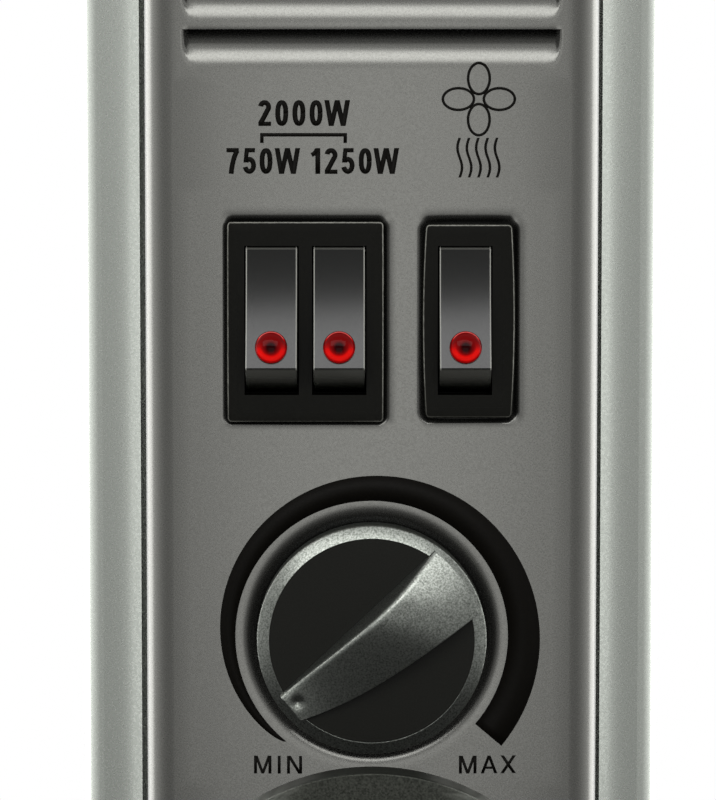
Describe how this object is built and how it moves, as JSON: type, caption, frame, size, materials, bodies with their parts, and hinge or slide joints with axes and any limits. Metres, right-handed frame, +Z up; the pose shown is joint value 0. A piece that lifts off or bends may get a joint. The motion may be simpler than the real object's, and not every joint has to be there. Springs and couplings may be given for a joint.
{
  "type": "oil filled radiator heater",
  "caption": "Upright oil filled radiator of hollow steel fins on castors, with a control box that holds rocker switches, a thermostat knob, a convector fan and a cord winder.",
  "frame": {"origin": "on the floor under the middle of the heater", "axes": "+Z up, +Y from the control panel to the rear fin, +X to the right as the panel is seen"},
  "size_m": [0.23, 0.419, 0.636],
  "materials": {
    "fin_paint": "satin silver paint",
    "panel_paint": "metallic grey paint",
    "foot_paint": "metallic grey paint",
    "zinc_steel": "zinc plated",
    "element_sheath": "dull steel sheath",
    "switch_black": "smooth black",
    "rocker_grey": "smooth dark grey",
    "lens_red": "clear red",
    "silver_plastic": "silver painted plastic",
    "insert_black": "matt black",
    "handle_black": "fine grained black",
    "castor_black": "smooth black",
    "wheel_grey": "grey tread",
    "cord_rubber": "black",
    "bakelite": "moulded brown",
    "terminal_nylon": "natural nylon",
    "terminal_brass": "bright",
    "ptc_aluminium": "corrugated fins",
    "impeller_grey": "grey",
    "wire_sleeve": "heat resistant sleeve"
  },
  "bodies": {
    "heater": {"cord_gland": "cord_rubber", "cover_screws": "zinc_steel", "double_switch_housing": "switch_black", "element_flange": "zinc_steel", "element_high_power": "element_sheath", "element_low_power": "element_sheath", "fan_frame": "switch_black", "fan_motor": "zinc_steel", "fin_1": "fin_paint", "fin_2": "fin_paint", "fin_3": "fin_paint", "fin_4": "fin_paint", "fin_5": "fin_paint", "fin_6": "fin_paint", "fin_7": "fin_paint", "fin_8": "fin_paint", "fin_9": "fin_paint", "front_cover": "panel_paint", "front_foot": "foot_paint", "handle_front_post": "handle_black", "handle_grip": "handle_black", "handle_rear_post": "handle_black", "handle_saddle": "zinc_steel", "header_plugs": "fin_paint", "internal_wires": "wire_sleeve", "mounting_plate": "zinc_steel", "plate_standoffs": "zinc_steel", "ptc_heater": "ptc_aluminium", "rear_foot": "foot_paint", "single_switch_housing": "switch_black", "switch_terminals": "terminal_brass", "terminal_block": "terminal_nylon", "thermal_cutout": "bakelite", "thermostat_body": "bakelite", "thermostat_nut": "zinc_steel", "tilt_switch_case": "terminal_nylon", "u_bolts": "zinc_steel", "winder_disc": "silver_plastic", "winder_stem": "handle_black", "wing_nuts": "zinc_steel"},
    "low_power_rocker": {"rocker_low_power": "rocker_grey", "lens_low_power": "lens_red"},
    "high_power_rocker": {"rocker_high_power": "rocker_grey", "lens_high_power": "lens_red"},
    "fan_rocker": {"rocker_fan": "rocker_grey", "lens_fan": "lens_red"},
    "thermostat_knob": {"knob": "silver_plastic", "knob_insert": "insert_black", "thermostat_shaft": "zinc_steel"},
    "fan_rotor": {"fan_impeller": "impeller_grey"},
    "pendulum": {"tilt_pendulum": "terminal_brass"},
    "castor_1_swivel": {"castor_1_fork": "castor_black"},
    "castor_1_rollers": {"castor_1_wheels": "wheel_grey"},
    "castor_2_swivel": {"castor_2_fork": "castor_black"},
    "castor_2_rollers": {"castor_2_wheels": "wheel_grey"},
    "castor_3_swivel": {"castor_3_fork": "castor_black"},
    "castor_3_rollers": {"castor_3_wheels": "wheel_grey"},
    "castor_4_swivel": {"castor_4_fork": "castor_black"},
    "castor_4_rollers": {"castor_4_wheels": "wheel_grey"}
  },
  "joints": [
    {"name": "low_power_rocker_tilt", "type": "hinge", "parent": "heater", "child": "low_power_rocker", "pos_m": [-0.016, -0.17785, 0.44947], "axis": [1, 0, 0], "range_deg": [0, 23.7]},
    {"name": "high_power_rocker_tilt", "type": "hinge", "parent": "heater", "child": "high_power_rocker", "pos_m": [-0.0052, -0.17785, 0.44947], "axis": [1, 0, 0], "range_deg": [0, 23.7]},
    {"name": "fan_rocker_tilt", "type": "hinge", "parent": "heater", "child": "fan_rocker", "pos_m": [0.0149, -0.17785, 0.44947], "axis": [1, 0, 0], "range_deg": [0, 23.7]},
    {"name": "thermostat_turn", "type": "hinge", "parent": "heater", "child": "thermostat_knob", "pos_m": [0, -0.18255, 0.398], "axis": [0, 1, 0], "range_deg": [-11, 258.5]},
    {"name": "fan_spin", "type": "hinge", "parent": "heater", "child": "fan_rotor", "pos_m": [0, -0.15755, 0.5348], "axis": [0, 1, 0], "continuous": true},
    {"name": "tilt_swing", "type": "hinge", "parent": "heater", "child": "pendulum", "pos_m": [0, -0.12505, 0.229], "axis": [0, 1, 0], "range_deg": [-35, 35]},
    {"name": "castor_1_turn", "type": "hinge", "parent": "heater", "child": "castor_1_swivel", "pos_m": [-0.097, -0.08895, 0.05], "axis": [0, 0, 1], "continuous": true},
    {"name": "castor_1_roll", "type": "hinge", "parent": "castor_1_swivel", "child": "castor_1_rollers", "pos_m": [-0.097, -0.07895, 0.018], "axis": [1, 0, 0], "continuous": true},
    {"name": "castor_2_turn", "type": "hinge", "parent": "heater", "child": "castor_2_swivel", "pos_m": [0.097, -0.08895, 0.05], "axis": [0, 0, 1], "continuous": true},
    {"name": "castor_2_roll", "type": "hinge", "parent": "castor_2_swivel", "child": "castor_2_rollers", "pos_m": [0.097, -0.07895, 0.018], "axis": [1, 0, 0], "continuous": true},
    {"name": "castor_3_turn", "type": "hinge", "parent": "heater", "child": "castor_3_swivel", "pos_m": [-0.097, 0.17705, 0.05], "axis": [0, 0, 1], "continuous": true},
    {"name": "castor_3_roll", "type": "hinge", "parent": "castor_3_swivel", "child": "castor_3_rollers", "pos_m": [-0.097, 0.18705, 0.018], "axis": [1, 0, 0], "continuous": true},
    {"name": "castor_4_turn", "type": "hinge", "parent": "heater", "child": "castor_4_swivel", "pos_m": [0.097, 0.17705, 0.05], "axis": [0, 0, 1], "continuous": true},
    {"name": "castor_4_roll", "type": "hinge", "parent": "castor_4_swivel", "child": "castor_4_rollers", "pos_m": [0.097, 0.18705, 0.018], "axis": [1, 0, 0], "continuous": true}
  ]
}
